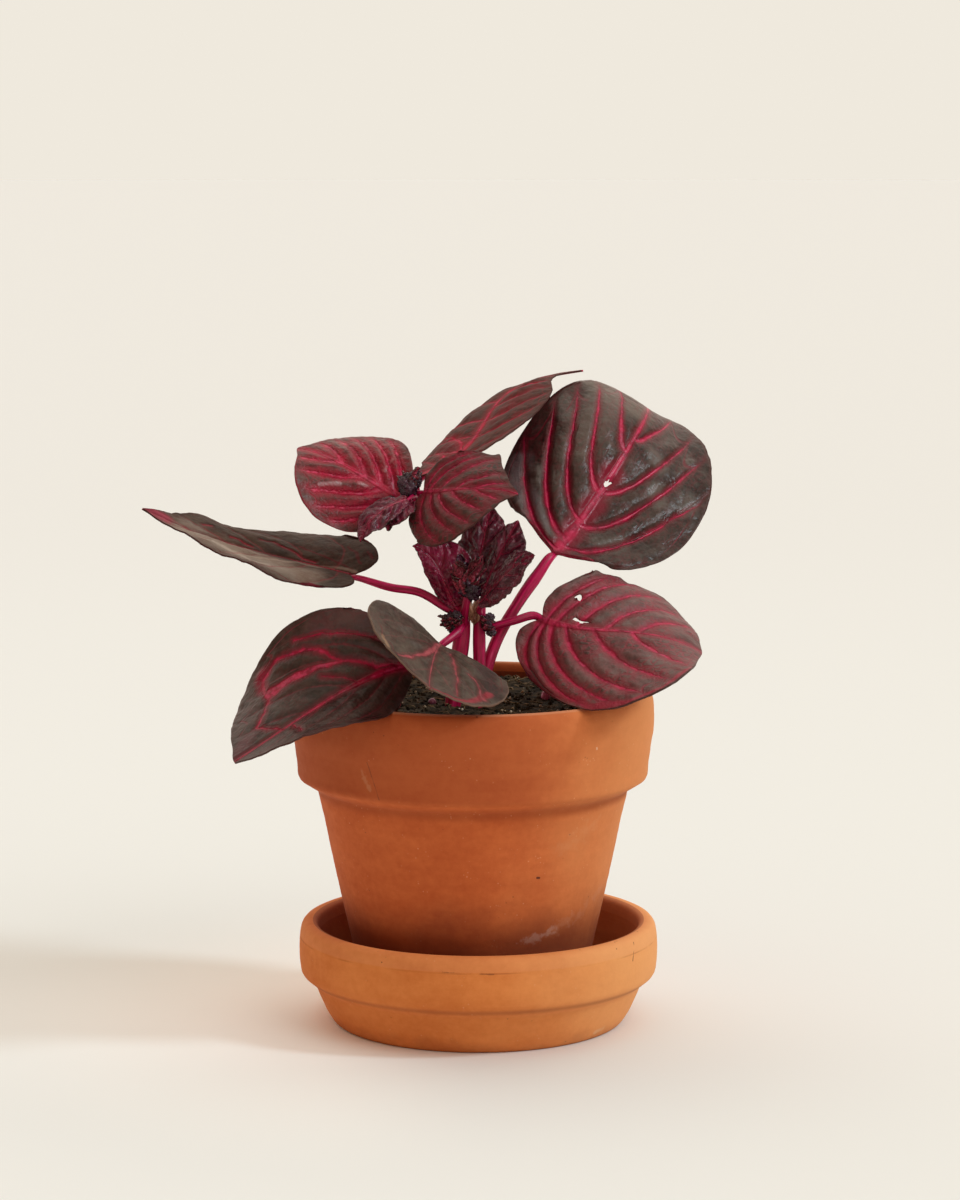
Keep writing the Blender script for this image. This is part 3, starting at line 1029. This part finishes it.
def leafMaterial(name, changes):
    look = {**plainLook, **changes}
    material, w = startSkin(name)
    place = w.place()
    fromRib, x = w.pair("rib")
    flat = w.add("CombineXYZ", {0: x * look["length"], 1: fromRib})
    shaken = w.vector("SUBTRACT", w.add("TexNoise", {"Vector": place, "Scale": 150}, out=1), (0.5, 0.5, 0.5))
    flat = w.vector("ADD", flat, w.vector("MULTIPLY", shaken, (2.4, 2.4, 0)))
    gaps = [strokeGap(w, flat, look["length"], *stroke) for stroke in look["strokes"]]
    feeds = {"Vein": look["veinReach"], "Rib": look["ribReach"], "Glow": look["glowReach"],
             "Stroke": w.lowest(*gaps) if gaps else noStroke}
    feeds.update({key.title(): look[key] for key in ("net", "wander", "relief", "feather", "faint")})
    leaf = w.group(veinGroup, feeds)

    shade = leaf["Mottle"] * 0.5 + leaf["Cloud"] * 0.5
    colour = w.mix(w.ease(shade, 0.36, 0.62), look["dark"], look["light"])
    bloom = w.ease(leaf["Crest"], 0.35, 1.0) * w.ease(w.noise(place, 85, 3, 0.6), 0.5, 0.66)
    bloom = bloom * w.ease(w.noise(place, 900, 3, 0.7), 0.34, 0.6, 0.35, 1)
    colour = w.mix(bloom * look["bloomShare"], colour, look["bloom"])
    for places, reach, paint, strength in look["patches"]:
        away = strokeGap(w, flat, look["length"], places) + leaf["Cloud"] * (reach * 0.8)
        colour = w.mix(w.ease(away, reach * 0.6, reach * 1.5, 1, 0) * strength, colour, paint)
    colour = w.mix(leaf["Net"] * 0.75, colour, look["glow"])
    halo = leaf["Glow"] * w.ease(leaf["Mottle"], 0.3, 0.62, 0.7, 1.1)
    colour = w.mix(halo ** 1.3 * look["glowShare"], colour, look["glow"])
    colour = w.mix(leaf["Margin"], colour, look["margin"])
    deep = [0.5 * c for c in look["vein"]]
    veinColour = w.mix(w.ease(w.noise(place, 210, 3, 0.6), 0.34, 0.6), deep, look["vein"])
    colour = w.mix(leaf["Vein"] * look["veinShare"], colour, veinColour)
    streak = w.ease(w.noise(place, 500, 4, 0.65), 0.42, 0.62, 0.05, 0.5)
    colour = w.mix(leaf["Centre"] * streak, colour, look["pink"])
    endSkin(w, colour, w.ease(shade, 0.3, 0.7, *look["rough"]), look["shine"], leaf["Height"])
    return material


def leafMaterials(name, look):
    margin = look.get("margin", plainLook["margin"])
    under, rim = {**look, **underLook}, {**look, "dark": margin, "light": margin}
    return [leafMaterial(name, look), leafMaterial(name + "Under", under), leafMaterial(name + "Rim", rim)]


fullMesh = {
    "finest": 0.011, "thick": 0.45,
    "columns": [0, 0.02, 0.04, 0.065, 0.09, 0.12, *(0.155 + 0.036 * i for i in range(21)),
                0.91, 0.94, 0.965, 0.985, 1],
}
youngMesh = {
    "finest": 0.018, "thick": 0.35,
    "columns": [0, 0.05, 0.11, 0.18, 0.26, 0.34, 0.42, 0.5, 0.58, 0.66, 0.74, 0.82, 0.89, 0.95, 1],
}
youngRelief = {"quilt": 0.3, "pucker": 0.9, "ragged": 0.07, "crumple": 1.1}


def growLeaf(name, shape, mesh, skins):
    blades = startBlades()
    leaf = {**ordinary, **shape}
    addBlade(blades, leaf, leafRows(leaf, mesh["finest"]), mesh["columns"])
    finishBlades(name + "_fine", blades, skins, [name], mesh["thick"])


for name, shape in leafShapes.items():
    growLeaf(name, shape, fullMesh, leafMaterials(name, {**leafLooks[name], "length": shape["length"]}))
print("full leaves are grown")

youngMaterials = leafMaterials("youngLeaf", youngLook)
redMaterials = leafMaterials("redLeaf", {**youngLook, **redLook})
for name, shape in youngShapes.items():
    skins = redMaterials if name == "young_leaf_left" else youngMaterials
    growLeaf(name, {**youngRelief, **shape}, youngMesh, skins)
print("young leaves are grown")


# Stems and stalks: the middle line's points and the radii along it. A stalk that names a leaf ends under it.

stemShapes = {
    "stem_left": [
        {"points": [(-8, -17, 84), (-7.6, -17, 98), (-5.9, -16.8, 112), (-4.7, -16.2, 122), (-5, -14.5, 129),
                    (-8, -11.5, 138), (-13, -10, 149), (-17, -11, 157), (-19.4, -14.6, 163.4)],
         "radii": [2.6, 2.4, 2.5, 2, 1.6, 1.5]},
        {"points": [(-5, -16, 126.5), (-9.6, -15.8, 128.6), (-17.4, -15.4, 133), (-26.3, -15.6, 134.6)],
         "leaf": "leaf_long_left", "radii": [1.5, 1.3, 1.25, 1.2]},
        {"points": [(-6.4, -17, 108), (-10, -21.5, 111.5)], "leaf": "leaf_lower_left",
         "radii": [1.4, 1.2, 1.1]},
        {"points": [(-4.6, -16.5, 124), (-6, -20.4, 122)], "leaf": "leaf_front", "radii": [1.5, 1.3, 1.2]},
        {"points": [(-18.2, -12, 160), (-20, -13.3, 160.6)], "leaf": "leaf_upper_left", "radii": [1.2, 1]},
        {"points": [(-18, -12, 160.5), (-18.4, -14.5, 162.4)], "leaf": "leaf_upper_centre",
         "radii": [1.2, 0.9]},
        {"points": [(-18.2, -12.4, 160.5), (-18.3, -10.6, 164.8)], "leaf": "leaf_top", "radii": [1.2, 1]},
        {"points": [(-18.6, -12.6, 160.5), (-19, -17, 162.2)], "leaf": "young_leaf_drooping",
         "radii": [0.9, 0.7]},
        {"points": [(-18.6, -12.6, 159.5), (-18.2, -16, 160.4)], "leaf": "young_leaf_folded",
         "radii": [0.9, 0.7]},
        {"points": [(-5, -15.5, 125.5), (-5.6, -16.6, 127)], "leaf": "young_leaf_left", "radii": [1, 0.8]},
        {"points": [(-5, -14.5, 125.5), (-6.6, -9, 126.4)], "leaf": "young_leaf_back", "radii": [0.9, 0.7]},
        {"points": [(-4.6, -16.5, 123), (-3.7, -18.8, 129), (-2.9, -20.2, 134)], "radii": [1.4, 1.3, 1.2]},
    ],
    "stem_right": [
        {"points": [(0.6, -17.5, 84), (0.5, -17.5, 98), (0.4, -17, 112), (0.3, -16.6, 122),
                    (0.6, -16.4, 130.4)],
         "radii": [2, 1.9, 1.85, 1.9, 1.7]},
        {"points": [(0.6, -16.5, 104), (5.6, -14, 118.6), (12.5, -10, 130), (18, -7.6, 137.6)],
         "leaf": "leaf_upper_right", "radii": [1.9, 1.8, 1.75, 1.7, 1.9]},
        {"points": [(0.5, -16.8, 122.6), (4, -17.3, 123.1), (10.5, -17.2, 124.8)],
         "leaf": "leaf_lower_right", "radii": [1.4, 1.25, 1.2, 1.3]},
        {"points": [(0.4, -16.2, 128), (-0.4, -12.6, 129.6)], "leaf": "young_leaf_upright",
         "radii": [1.1, 0.9]},
        {"points": [(0.5, -16.4, 128.6), (1, -16.4, 130.6)], "leaf": "young_leaf_notched",
         "radii": [1.1, 0.9]},
        {"points": [(0.5, -17, 126.5), (0.2, -20, 128.4)], "leaf": "young_leaf_right", "radii": [1.1, 0.9]},
    ],
}
stemFinish = {"deep": (0.24, 0.001, 0.032), "crimson": (0.56, 0.006, 0.1), "pink": (0.82, 0.13, 0.32)}


def startTubes():
    bm = bmesh.new()
    bm.loops.layers.uv.new("stalk")
    return bm


def addTube(bm, line, radii, sides=20, ridges=5, ridge=0.05):
    # A tube along the line: a grid rolled up round it, its seam merged and its ends closed.
    steps = len(line) - 1
    made = bmesh.ops.create_grid(bm, x_segments=steps, y_segments=sides, size=1)["verts"]
    stalkMap = bm.loops.layers.uv["stalk"]
    tangents = [(line[min(i + 1, steps)] - line[max(i - 1, 0)]).normalized() for i in range(steps + 1)]
    across = [tangents[0].orthogonal().normalized()]
    for tangent in tangents[1:]:
        across.append((across[-1] - tangent * across[-1].dot(tangent)).normalized())
    spots = {corner: gridSpot(corner, steps, sides) for corner in made}
    length = sum((b - a).length for a, b in zip(line, line[1:]))
    for face in {f for corner in made for f in corner.link_faces}:
        for loop in face.loops:
            step, k = spots[loop.vert]
            loop[stalkMap].uv = (length * step / steps, k / sides)
    for corner in made:
        step, k = spots[corner]
        angle = 2 * math.pi * k / sides
        radius = along(radii, step / steps) * (1 + ridge * math.cos(ridges * angle))
        side = tangents[step].cross(across[step])
        corner.co = (line[step] + (across[step] * math.cos(angle) + side * math.sin(angle)) * radius) * mm
    bmesh.ops.remove_doubles(bm, verts=made, dist=1e-6)
    left = [c for c in made if c.is_valid]
    rim = {e for c in left for e in c.link_edges if e.is_boundary}
    bmesh.ops.holes_fill(bm, edges=list(rim))
    bmesh.ops.recalc_face_normals(bm, faces=list({f for c in left for f in c.link_faces}))


def stemLine(stalk):
    points = [Vector(p) for p in stalk["points"]]
    if "leaf" in stalk:
        leaf = {**leafShapes, **youngShapes}[stalk["leaf"]]
        base, tangent = Vector(leaf["base"]), tangentAt(leaf, 0)
        up = midribFrame({**ordinary, **leaf}, [base, base + tangent], 0)[2]
        if (base - points[-1]).length > 6:  # a long stalk comes up to its blade from behind
            points.append(base - tangent * 3.4 - up * 0.3)
        slim = min(stalk["radii"])  # from here the stalk runs on under the blade
        points.append(base + tangent * 0.5 - up * 0.75 * slim)
        points.append(base + tangent * min(6, leaf["length"] * 0.12) - up * 0.8 * slim)
    return curvePoints(points, max(8, round(sum((b - a).length for a, b in zip(points, points[1:])) / 0.8)))


def stemMaterial():
    material, w = startSkin("stemSkin")
    length, turn = w.pair("stalk")
    place = w.place()
    streak = w.noise(w.add("CombineXYZ", {0: length * 0.06, 1: turn * 9.0}), 1.0, 4, 0.6)
    patch = w.noise(place, 90, 3)
    colour = w.mix(w.ease(streak, 0.35, 0.62), stemFinish["deep"], stemFinish["crimson"])
    light = w.ease(patch, 0.45, 0.7) * w.ease(streak, 0.5, 0.7)
    colour = w.mix(light * 0.6, colour, stemFinish["pink"])
    rough = w.ease(patch, 0.3, 0.7, 0.3, 0.46)
    endSkin(w, colour, rough, shine=0.35, height=w.noise(place, 600, 3) * 0.12)
    return material


stemSkin = stemMaterial()
for name, stalks in stemShapes.items():
    bm = startTubes()
    for stalk in stalks:
        main = "leaf" not in stalk
        radii = stalk["radii"] if main else [*stalk["radii"], stalk["radii"][-1] * 0.75, 0.35]
        addTube(bm, stemLine(stalk), radii, 24 if main else 16)
    finishPiece(name + "_fine", bm, [stemSkin], [name])
print("stems are grown")


# Buds: rounded lumps with their centre, half sizes and turn, and crumpled leaflets that stand out of them.

budShapes = {
    "apex_bud": {
        "lumps": [((-20.8, -17.4, 165.2), (2.6, 1.9, 3.2), 0), ((-18.8, -17.6, 166.8), (2.0, 1.5, 2.5), 30)],
        "leaflets": 20, "middle": (-20.2, -17.4, 166), "spread": (2.6, 1.6, 3), "size": (2.4, 4.6),
        "rise": 62},
    "crumpled_bud": {
        "lumps": [((-3.4, -20.6, 136.4), (2.6, 1.8, 3.6), 0), ((-1.4, -21.4, 134.2), (2, 1.4, 2.8), 20)],
        "leaflets": 34, "middle": (-3, -20.8, 136.4), "spread": (4.4, 2, 4.2), "size": (3.4, 7.2),
        "rise": 62},
    "bud_cluster_left": {
        "lumps": [((-8.4, -18.6, 124.9), (2, 1.7, 2.2), 20), ((-6.6, -19.6, 126.6), (1.6, 1.3, 1.4), 0),
                  ((-7.4, -18.8, 122.7), (1.5, 1.4, 1.5), 0)],
        "leaflets": 20, "middle": (-7.8, -19, 124.6), "spread": (2.6, 1.5, 2.6), "size": (1.6, 3.2),
        "rise": 25},
    "bud_cluster_right": {
        "lumps": [((3.4, -19.4, 126.2), (1.3, 1.1, 1.2), 0), ((3.8, -20.1, 121.7), (1.4, 1, 1.1), 30),
                  ((2.4, -20, 124.3), (1.3, 1.1, 2), 0)],
        "leaflets": 14, "middle": (3, -19.8, 124.3), "spread": (1.4, 1, 2.6), "size": (1.2, 2.4), "rise": 20},
}
budLook = {**youngLook, "dark": (0.013, 0.0045, 0.011), "light": (0.07, 0.02, 0.048),
           "glow": (0.065, 0.006, 0.028), "vein": (0.1, 0.006, 0.036), "rough": (0.16, 0.3), "shine": 0.6}
drySkin = {"dark": (0.13, 0.035, 0.025), "light": (0.55, 0.31, 0.21)}
dryScar = {"shreds": 16, "seed": 5, "radii": [0.45, 0.5, 0.32, 0.12],
           "lump": ((-1.3, -19.1, 125), (0.5, 0.4, 1), 0)}


def addLump(bm, centre, half, turn, bumpiness):
    place = Matrix.Translation(Vector(centre) * mm) @ Matrix.Rotation(math.radians(turn), 4, "Z")
    made = bmesh.ops.create_icosphere(bm, subdivisions=4, radius=1)["verts"]
    for corner in made:
        grow = 1 + bumpiness * (0.3 - abs(noise.noise(corner.co * 1.6 + Vector(centre))))
        grow += bumpiness * (0.2 - abs(noise.noise(corner.co * 3.3 - Vector(centre))))
        corner.co = place @ Vector([c * h * grow * mm for c, h in zip(corner.co, half)])


def budSkinMaterial():
    material, w = startSkin("budSkin")
    place = w.place()
    share = w.ease(w.noise(place, 420, 4, 0.65), 0.36, 0.66)
    colour = w.mix(share, budLook["dark"], budLook["light"])
    colour = w.mix(w.ease(w.noise(place, 260, 3), 0.55, 0.68, 0, 0.6), colour, budLook["vein"])
    rough = w.ease(share, 0, 1, *budLook["rough"])
    endSkin(w, colour, rough, budLook["shine"], height=w.noise(place, 700, 4, 0.6) * 0.9)
    return material


budMaterials = leafMaterials("budLeaf", budLook)
budSkin = budSkinMaterial()
leafletMesh = {
    "rows": [i / 14 for i in range(15)], "columns": [0, 0.1, 0.25, 0.45, 0.65, 0.82, 0.93, 1], "thick": 0.3,
}


def drawLeaflet(draw, shape):
    turn = draw.uniform(0, 360)
    out = Vector((math.cos(math.radians(turn)), math.sin(math.radians(turn)), 0))
    start = [m + s * o * 0.55 for m, s, o in zip(shape["middle"], shape["spread"], out)]
    start[2] += draw.uniform(-0.7, 0.5) * shape["spread"][2]
    length = draw.uniform(*shape["size"])
    pitch = shape["rise"] + draw.uniform(-22, 22)
    fold = draw.uniform(10, 50)
    return {
        "base": start, "length": length, "width": (length * 0.28, length * draw.uniform(0.22, 0.34)),
        "heading": (turn, turn + draw.uniform(-40, 40), turn + draw.uniform(-60, 60)),
        "pitch": (pitch, pitch + draw.uniform(-10, 25), pitch + draw.uniform(-30, 40)),
        "roll": (draw.uniform(-40, 40), 0, draw.uniform(-50, 50)), "curl": ((fold, 30, 20), (fold, 25, 10)),
        "fold": (fold * 0.6, fold * 0.6), "pucker": 0.5, "ragged": 0.3, "quilt": 0.3, "basal": 0.1,
        "crumple": 0.9, "outline": (0.5, 0.5)}


def makeBud(name, shape, seed):
    draw = random.Random(seed)
    blades = startBlades()
    for _ in range(shape["leaflets"]):
        addBlade(blades, drawLeaflet(draw, shape), leafletMesh["rows"], leafletMesh["columns"])
    finishBlades(name + "_leaflets", blades, budMaterials, [name], leafletMesh["thick"])
    core = bmesh.new()
    for lump in shape["lumps"]:
        addLump(core, *lump, bumpiness=0.75)
    finishPiece(name + "_core", core, [budSkin], [name])


firstBudSeed = 40
for seed, (name, shape) in enumerate(budShapes.items(), firstBudSeed):
    makeBud(name, shape, seed)
print("buds are grown")


def dryMaterial():
    material, w = startSkin("dryScar")
    place = w.place()
    share = w.ease(w.noise(w.stretched(place, (1, 1, 0.3)), 500, 4, 0.6), 0.35, 0.65)
    colour = w.mix(share, drySkin["dark"], drySkin["light"])
    endSkin(w, colour, rough=0.9, shine=0.15, height=w.noise(place, 900, 3) * 0.2)
    return material


def makeDryScar():
    # Curled shreds of dead leaf bases between the stems, on a small lump.
    bm = startTubes()
    draw = random.Random(dryScar["seed"])
    for _ in range(dryScar["shreds"]):
        start = Vector((draw.uniform(-2.1, -0.6), -19.4 + draw.uniform(-0.5, 0.6), draw.uniform(124.6, 127)))
        tip = start + Vector((draw.uniform(-0.9, 1.2), draw.uniform(-0.7, 0.3), draw.uniform(2, 5.4)))
        bow = start.lerp(tip, 0.5) + Vector((draw.uniform(-0.8, 0.8), draw.uniform(-0.6, 0.2), 0))
        addTube(bm, curvePoints([start, bow, tip], 10), dryScar["radii"], sides=8, ridges=2, ridge=0.35)
    addLump(bm, *dryScar["lump"], bumpiness=0.9)
    finishPiece("dry_scar_fine", bm, [dryMaterial()], ["dry_scar"])


makeDryScar()


# Soil: a rough bed, crumbs, fibres and pale grit, with two scraps of stalk on it.

# The skirt is the rest of the soil inside the pot, as radius and height.
soilBed = {
    "x": -1.7, "level": 98.4, "crown": 0.6, "radius": 48.6, "sectors": 180, "rings": 76, "relief": 0.75,
    "skirt": ((48.4, 96), (39, 60), (0, 15.4)),
}
crumbLook = {"count": 1100, "seed": 21, "smallest": 0.28, "spread": 0.75, "sunk": 0.2}
fibreLook = {"count": 260, "seed": 8, "length": (1.6, 6), "width": (0.06, 0.17), "lift": 0.5}
gritLook = {"count": 90, "seed": 33, "size": (0.16, 0.5), "lift": 0.55}
soilColours = {"wet": (0.015, 0.011, 0.0062), "crumb": (0.08, 0.054, 0.027), "fleck": (0.19, 0.125, 0.06)}


def soilTop(x, y):
    away = math.hypot(x, y) / 48
    place = Vector((x, y, 4.0))
    height = noise.noise(place * 0.09) * 0.6 + noise.noise(place * 0.24) * 0.9
    height += noise.noise(place * 0.6) * 0.55 + abs(noise.noise(place * 1.3)) * 0.4
    dip = 0.9 * max(0, away - 0.85) / 0.15
    return soilBed["level"] + soilBed["crown"] * (1 - away * away) + soilBed["relief"] * height - dip


def soilMaterial():
    material, w = startSkin("soilCrumb")
    place = w.place()
    colour = w.mix(w.ease(w.noise(place, 240, 5, 0.7), 0.42, 0.66), soilColours["wet"], soilColours["crumb"])
    fleck = w.ease(w.cells(place, 700), 0.1, 0.28, 1, 0) * w.ease(w.noise(place, 160, 2), 0.5, 0.62)
    colour = w.mix(fleck * 0.8, colour, soilColours["fleck"])
    endSkin(w, colour, rough=0.95, shine=0.2, height=w.noise(place, 450, 5, 0.7) * 0.9)
    return material


def makeSoilBed(material):
    bm = bmesh.new()
    rings, sectors, skirt = soilBed["rings"], soilBed["sectors"], soilBed["skirt"]
    rows = rings + len(skirt)
    for corner in bmesh.ops.create_grid(bm, x_segments=rows, y_segments=sectors, size=1)["verts"]:
        ring, k = gridSpot(corner, rows, sectors)
        angle = 2 * math.pi * k / sectors
        below = skirt[ring - rings - 1] if ring > rings else None
        radius = below[0] if below else soilBed["radius"] * (ring / rings) ** 0.75
        x, y = radius * math.cos(angle), radius * math.sin(angle)
        z = below[1] if below else soilTop(x, y)
        corner.co = ((x + soilBed["x"]) * mm, y * mm, z * mm)
    bmesh.ops.remove_doubles(bm, verts=bm.verts, dist=1e-6)
    bmesh.ops.recalc_face_normals(bm, faces=bm.faces)
    finishPiece("soil_bed", bm, [material], ["soil"])


def onSoil(draw, reach=47):
    away, angle = reach * math.sqrt(draw.random()), draw.uniform(0, 2 * math.pi)
    x, y = away * math.cos(angle), away * math.sin(angle)
    return Vector((x + soilBed["x"], y, soilTop(x, y)))


def makeCrumbs(material):
    bm = bmesh.new()
    draw = random.Random(crumbLook["seed"])
    for _ in range(crumbLook["count"]):
        size = crumbLook["smallest"] + crumbLook["spread"] * draw.random() ** 3
        spot = onSoil(draw)
        turn = Matrix.Rotation(draw.uniform(0, 6.28), 4, Vector((draw.random(), draw.random(), 1)))
        crumb = bmesh.new()
        bmesh.ops.create_icosphere(crumb, subdivisions=2, radius=1)
        for corner in crumb.verts:
            grow = size * (1 + 0.9 * noise.noise(corner.co * 1.7 + spot))
            flat = turn @ Vector((corner.co.x, corner.co.y * 0.8, corner.co.z * 0.65))
            corner.co = (spot + Vector((0, 0, size * crumbLook["sunk"])) + flat * grow) * mm
        pour(bm, crumb)
    finishPiece("soil_crumbs", bm, [material])


def plainMaterial(name, first, second, scale, rough):
    material, w = startSkin(name)
    place = w.place()
    share = w.ease(w.noise(place, scale, 3), 0.35, 0.65)
    height = w.noise(place, scale * 2, 3) * 0.15
    endSkin(w, w.mix(share, first, second), rough, shine=0.5, height=height)
    return material


def makeFibres():
    bm = startTubes()
    draw = random.Random(fibreLook["seed"])
    for _ in range(fibreLook["count"]):
        spot = onSoil(draw)
        turn, length = draw.uniform(0, 6.28), draw.uniform(*fibreLook["length"])
        way = Vector((math.cos(turn), math.sin(turn), draw.uniform(-0.15, 0.35))) * length
        bow = Vector((-way.y, way.x, length * draw.uniform(0.1, 0.7))) * draw.uniform(-0.3, 0.3)
        start = spot + Vector((0, 0, fibreLook["lift"]))
        line = curvePoints([start, start + way * 0.5 + bow, start + way], 6)
        width = draw.uniform(*fibreLook["width"])
        strand = startTubes()
        addTube(strand, line, [width, width * 1.2, width * 0.5], sides=5, ridges=2, ridge=0.2)
        pour(bm, strand)
    fibre = plainMaterial("fibre", (0.035, 0.022, 0.01), (0.26, 0.17, 0.075), scale=120, rough=0.8)
    finishPiece("soil_fibres", bm, [fibre])


def makeGrit():
    bm = bmesh.new()
    draw = random.Random(gritLook["seed"])
    for _ in range(gritLook["count"]):
        spot = onSoil(draw)
        size = draw.uniform(*gritLook["size"])
        grain = bmesh.new()
        bmesh.ops.create_icosphere(grain, subdivisions=1, radius=1)
        for corner in grain.verts:
            grow = size * (1 + 0.8 * noise.noise(corner.co * 1.9 + spot))
            corner.co = (spot + Vector((0, 0, gritLook["lift"])) + corner.co * grow) * mm
        pour(bm, grain)
    grit = plainMaterial("grit", (0.3, 0.2, 0.09), (0.72, 0.66, 0.54), scale=60, rough=0.7)
    finishPiece("soil_grit", bm, [grit])


scraps = {  # foot, head, radii, and the colours of the skin
    "fallen_bit_right": ((20.1, -2.2, 97.6), (20.5, -1.6, 100.9), [1.25, 1.4, 1.35, 1.15],
                         (0.3, 0.04, 0.13), (0.55, 0.12, 0.28)),
    "fallen_bit_left": ((-14.4, -13.2, 99), (-13, -12.6, 100.3), [0.9, 1.3, 1.2, 0.7],
                        (0.14, 0.03, 0.08), (0.42, 0.16, 0.26)),
}


def makeScraps():
    for name, (foot, head, radii, first, second) in scraps.items():
        bm = startTubes()
        line = [Vector(foot).lerp(Vector(head), i / 10) for i in range(11)]
        addTube(bm, line, radii, sides=20, ridges=6, ridge=0.06)
        skin = plainMaterial(name, first, second, scale=350, rough=0.4)
        piece = finishPiece(name + "_fine", bm, [skin], [name])
        addModifier(piece, "BEVEL", width=0.25 * mm, segments=2, limit_method="ANGLE")


soilSkin = soilMaterial()
makeSoilBed(soilSkin)
makeCrumbs(soilSkin)
makeFibres()
makeGrit()
makeScraps()
print("soil is laid")
